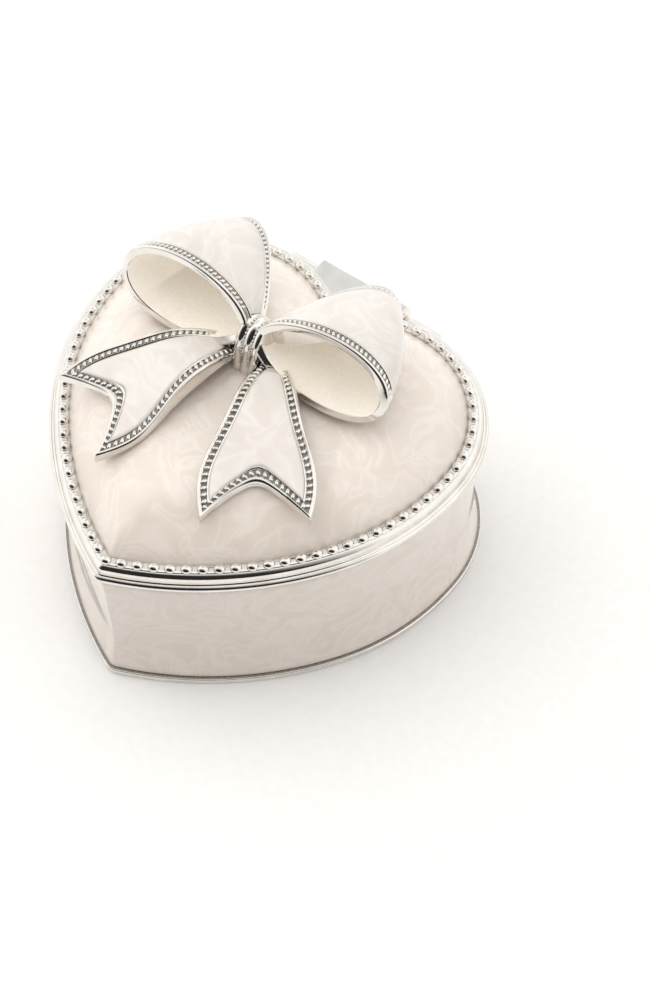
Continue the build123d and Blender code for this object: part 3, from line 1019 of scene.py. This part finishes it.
inner_half = smooth_curve(side_places, (1.4, 4.0, 6.4, 9.0, 8.0))
outer_half = smooth_curve(side_places, (1.4, 4.0, 6.4, 9.0, 8.4))
print("tail arches", round(tail_top(tail_places[2]), 2), "mm above the dome's top")


def tail_place(s, c, z):
    """A point at s along the tail, c across it and z above the flat top of the dome."""
    x = TAIL_START_X + s * cos(TAIL_ANGLE) - c * sin(TAIL_ANGLE)
    y = BOW_BACK - TAIL_START_FORWARD + s * sin(TAIL_ANGLE) + c * cos(TAIL_ANGLE)
    return (x, y, bow_z + z)


def tail_spot(t, v, border, start):
    """Along and across the tail, by shares of its length and half width, inside a border."""
    notch = TAIL_LENGTH - TAIL_NOTCH - 1.3 * border
    tip = TAIL_LENGTH - 1.6 * border - (TIP_SET_BACK if v > 0 else 0)
    half = outer_half if v > 0 else inner_half
    soft = NOTCH_SOFTNESS
    rise = (sqrt(v * v + soft * soft) - soft) / (sqrt(1 + soft * soft) - soft)
    end = notch + (tip - notch) * rise
    s = start + (end - start) * t
    return s, v * max(half(s) - border, 0.25)


def tail_edge(border, start, height):
    """The outline inside a border, at a height below or above the tail's top, or on its underside."""
    spots = [tail_spot(i / LENGTH_STEPS, 1, border, start) for i in range(LENGTH_STEPS)]
    spots += [tail_spot(1, 1 - 2 * i / WIDTH_STEPS, border, start) for i in range(WIDTH_STEPS)]
    spots += [tail_spot(1 - i / LENGTH_STEPS, -1, border, start) for i in range(LENGTH_STEPS)]
    spots += [tail_spot(0, -1 + 2 * i / ROOT_STEPS, border, start) for i in range(ROOT_STEPS)]
    return [tail_place(s, c, height(s)) for s, c in spots]


def tail_face(border, start, height):
    """A grid over the outline inside a border."""
    across = [-1 + 2 * i / WIDTH_STEPS for i in range(WIDTH_STEPS + 1)]
    along = [i / LENGTH_STEPS for i in range(LENGTH_STEPS + 1)]
    spots = [tail_spot(t, v, border, start) for t in along for v in across]
    points = [tail_place(s, c, height(s)) for s, c in spots]
    faces = []
    for i in range(LENGTH_STEPS):
        for j in range(WIDTH_STEPS):
            low, high = i * len(across) + j, (i + 1) * len(across) + j
            faces.append((low, low + 1, high + 1, high))
    return points, faces


# %% [markdown]
# The casting is a stack of outlines, two at the underside and then the border's profile from the edge
# inwards. One grid closes the bed of the panel and one the underside.


# %% Tail castings
def top_at(lift):
    """Heights a lift above the tail's top."""
    return lambda s: tail_top(s) + lift


tail_rail = [(0.0, -0.40), (0.06, -0.16)]
tail_rail += [(0.10 + 0.60 * i / 4, -0.08 + 0.18 * sin(pi * i / 4)) for i in range(5)]
tail_profile = tail_rail + [(0.76, -0.32), (1.50, -0.32)]
tail_profile += [(1.56 + 0.34 * i / 4, -0.04 + 0.13 * sin(pi * i / 4)) for i in range(5)]
tail_profile += [(1.93, -0.10), (1.97, -0.38)]


def tail_start(border):
    """Where an outline starts: plain metal at the root, then the borders close in round the panel."""
    return TAIL_BACK + (PANEL_START - TAIL_BACK) * min(1, border / TAIL_BORDER)


UNDER_EDGE = 0.15
tail_rings = [
    tail_edge(UNDER_EDGE, TAIL_BACK, tail_under),
    tail_edge(0.0, TAIL_BACK, lambda s: tail_under(s) + UNDER_EDGE),
]
groove_level = len(tail_rings) + len(tail_rail)
tail_rings += [tail_edge(border, tail_start(border), top_at(lift)) for border, lift in tail_profile]
last_border = tail_profile[-1][0]
tail_bed = tail_face(last_border, tail_start(last_border), top_at(tail_profile[-1][1]))
tail_underside = tail_face(UNDER_EDGE, TAIL_BACK, tail_under)
tail_shape = join([skin(tail_rings, (False, False)), tail_bed, tail_underside])
edge_points = len(tail_rings[0])
groove_faces = slice(groove_level * edge_points, (groove_level + 1) * edge_points)
print("tail", len(tail_rings), "outlines of", edge_points, "points")

# %% [markdown]
# The rope is a row of slanted grains along the outline in the middle of the groove, left open at the
# root. The panel is a closed slab in the bed whose rounded lip rises a little above the rails.

# %% Tail ropes and panels
ROPE_BORDER = 1.13
TAIL_ROPE_PITCH = 1.08
TAIL_ROPE_GRAIN = (0.37, 0.58, 0.26)
rope_path = tail_edge(ROPE_BORDER, tail_start(ROPE_BORDER), top_at(-0.12))[:-ROOT_STEPS]
rope_up = [(0, 0, 1)] * len(rope_path)
tail_rope = strew(small_ball, rope_path, rope_up, TAIL_ROPE_PITCH, TAIL_ROPE_GRAIN, ROPE_SLANT)

PANEL_BORDER = 1.95
PANEL_LIP = 0.22
panel_begin = tail_start(PANEL_BORDER)
panel_bottom, panel_side, panel_top = top_at(-0.36), top_at(-0.06), top_at(0.08)
top_outline = (PANEL_BORDER + PANEL_LIP, panel_begin + 0.2, panel_top)
panel_rings = [tail_edge(PANEL_BORDER, panel_begin, height) for height in (panel_bottom, panel_side)]
panel_rings.append(tail_edge(*top_outline))
panel_floor = tail_face(PANEL_BORDER, panel_begin, panel_bottom)
tail_panel = join([skin(panel_rings, (False, False)), tail_face(*top_outline), panel_floor])
print("tail rope", len(tail_rope[0]), "points, panel", len(tail_panel[0]), "points")

# %% Both tails
for side, shape_of in SIDES:
    body, rope, fill = (on_lid(shape_of(shape)) for shape in (tail_shape, tail_rope, tail_panel))
    nodes = [f"bow_{side}_tail"]
    tail = make_piece(f"bow_{side}_tail_casting", body, "lid", [silver, recess_shade], nodes, 40)
    # The floor of the groove gets painted shade.
    for polygon in tail.data.polygons[groove_faces]:
        polygon.material_index = 1
    make_piece(f"bow_{side}_tail_rope", rope, "lid", [silver], (), 60)
    nodes = [f"bow_{side}_tail_enamel"]
    make_piece(f"bow_{side}_tail_panel", fill, "lid", [panel], nodes, 50)

# %% [markdown]
# ## Floor and light
# The box stands on a wide sheet of white paper. The sheet is only a stage and not part of the box, and it
# reaches far enough that its edge stays out of the pictures from the usual angles.

# %% Floor
paper, tree, shader, place = new_finish("white_paper")
fibre = add_node(tree, "ShaderNodeTexNoise", {"Vector": place, "Scale": per(1.5), "Detail": 2.0})
tone = add_node(
    tree, "ShaderNodeValToRGB", {"Fac": fibre.outputs["Fac"]},
    stops=[(0.3, "#f6f5f3"), (0.7, "#f9f8f7")],
)
tree.links.new(tone.outputs["Color"], shader.inputs["Base Color"])
shader.inputs["Roughness"].default_value = 0.8
half_sheet = 30000.0 * MM
sweep = bpy.data.meshes.new("paper_sweep")
sheet = [(x * half_sheet, y * half_sheet, 0) for x, y in ((-1, -1), (1, -1), (1, 1), (-1, 1))]
sweep.from_pydata(sheet, [], [(0, 1, 2, 3)])
floor = bpy.data.objects.new("paper_sweep", sweep)
floor.location.z = -0.05 * MM
floor.data.materials.append(paper)
scene.collection.objects.link(floor)
print("paper", 2 * half_sheet, "m wide")

# %% [markdown]
# Polished silver shows what is round it, so it is pictured in a light tent. This one is white all round,
# with one dark opening low in front and a small grey scrim high behind. The opening draws the dark lines
# in the mouldings, and the scrim gives the flat top of the knuckle its grey. How much a direction faces
# either of them is a dot product, which a map range or a colour ramp turns into light.

# %% Light tent
room = bpy.data.worlds.new("light_tent")
scene.world = room
room.use_nodes = True
tree = room.node_tree
ways = add_node(tree, "ShaderNodeTexCoord").outputs["Generated"]
dark_way = Vector((0.32, -0.91, 0.25)).normalized()
scrim_way = Vector((-0.36, 0.42, 0.83)).normalized()
to_dark = add_node(tree, "ShaderNodeVectorMath", {0: ways, 1: dark_way}, operation="DOT_PRODUCT")
to_scrim = add_node(tree, "ShaderNodeVectorMath", {0: ways, 1: scrim_way}, operation="DOT_PRODUCT")
glow = add_node(
    tree, "ShaderNodeMapRange",
    {"Value": to_dark.outputs["Value"], "From Min": 0.40, "From Max": 0.76, "To Min": 1.21, "To Max": 0.03},
)
tent = add_node(
    tree, "ShaderNodeValToRGB", {"Fac": to_scrim.outputs["Value"]},
    stops=[(0.88, "#fffefc"), (0.94, "#dddfe0")],
)
tree.links.new(tent.outputs["Color"], tree.nodes["Background"].inputs["Color"])
tree.links.new(glow.outputs["Result"], tree.nodes["Background"].inputs["Strength"])
print("tent dark towards", [round(c, 2) for c in dark_way])

# %% [markdown]
# A large soft box lights the box from above and gives the soft shadow on the paper. A weak one low in
# front has a narrow spread and is aimed over the dome, so that it lights the bow and the insides of its
# loops. The silver mirrors the tent alone.


# %% Soft boxes
def soft_box(name, place, aim, size, power, colour):
    """A square soft light at a place, aimed at a point, in millimetres and watts."""
    data = bpy.data.lights.new(name, "AREA")
    data.size = size * MM
    data.energy = power
    data.color = srgb(colour)[:3]
    lamp = bpy.data.objects.new(name, data)
    lamp.location = Vector(place) * MM
    lamp.rotation_mode = "QUATERNION"
    lamp.rotation_quaternion = (Vector(aim) - Vector(place)).to_track_quat("-Z", "Y")
    scene.collection.objects.link(lamp)
    return lamp


overhead = soft_box("overhead_box", (-230, -130, 660), (0, 0, 20), 900, 2.6, "#fffcf9")
overhead.visible_glossy = False
bow_light = soft_box("bow_light", (140, -440, 125), (-2, 8, 88), 100, 0.021, "#fffaf5")
bow_light.data.spread = radians(5)
bow_light.visible_glossy = False
scene.view_settings.view_transform = "Standard"
print("lights", len(bpy.data.lights))
